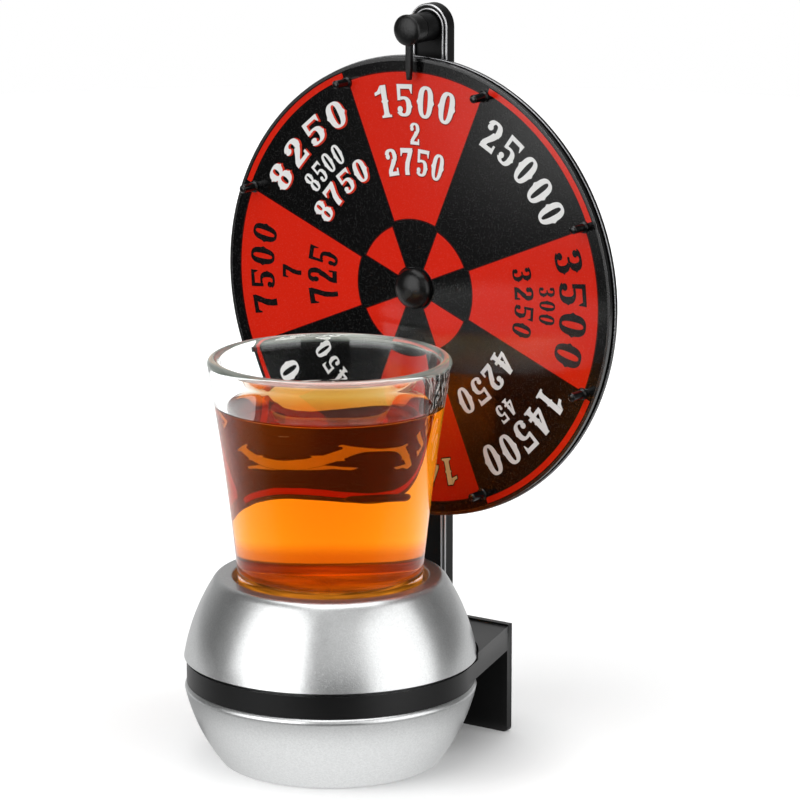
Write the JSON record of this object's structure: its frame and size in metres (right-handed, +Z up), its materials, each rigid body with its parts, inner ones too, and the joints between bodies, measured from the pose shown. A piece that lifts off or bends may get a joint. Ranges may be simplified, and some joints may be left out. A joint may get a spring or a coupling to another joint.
{
  "type": "drinking game spinner wheel",
  "caption": "Table-top spinner wheel with pegs and a swinging pointer, on a post bracketed to a ball-shaped base that holds a shot glass.",
  "frame": {"origin": "centre of the non-slip pad under the ball, on the table", "axes": "+Z up; the wheel's printed face looks along -Y; the post and the foot plate lie on the +Y side; the wheel and the pointer turn about Y"},
  "size_m": [0.0964, 0.0702, 0.1521],
  "materials": {
    "silver_plastic": "satin silver paint with fine metallic flake",
    "black_plastic": "satin black moulded plastic",
    "gloss_black": "gloss black moulded plastic",
    "steel": "zinc-plated steel",
    "brass": "turned brass",
    "rubber": "matt black rubber",
    "printed_label": "glossy printed laminate in red and black",
    "clear_glass": "clear pressed glass"
  },
  "bodies": {
    "stand": {"lower_shell": "silver_plastic", "upper_shell": "silver_plastic", "base_pad": "rubber", "shell_screws": "steel", "bracket": "black_plastic", "post": "black_plastic", "post_screw": "steel", "axle_bolt": "steel", "axle_nut": "steel", "axle_washer": "steel", "pointer_screw": "steel"},
    "wheel": {"wheel_disc": "black_plastic", "wheel_back": "black_plastic", "wheel_screws": "steel", "face_label": "printed_label", "pegs": "gloss_black", "hub_bush": "brass", "hub_cap": "gloss_black"},
    "pointer": {"pointer": "gloss_black", "pointer_cap": "gloss_black"},
    "glass": {"shot_glass": "clear_glass"}
  },
  "joints": [
    {"name": "wheel_spin", "type": "hinge", "parent": "stand", "child": "wheel", "pos_m": [0, 0.0301, 0.09355], "axis": [0, 1, 0], "continuous": true},
    {"name": "pointer_swing", "type": "hinge", "parent": "stand", "child": "pointer", "pos_m": [0, 0.0274, 0.14745], "axis": [0, 1, 0], "range_deg": [-50, 50]},
    {"name": "glass_lift", "type": "slide", "parent": "stand", "child": "glass", "axis": [0, 0, 1], "range_m": [0, 0.05]}
  ]
}
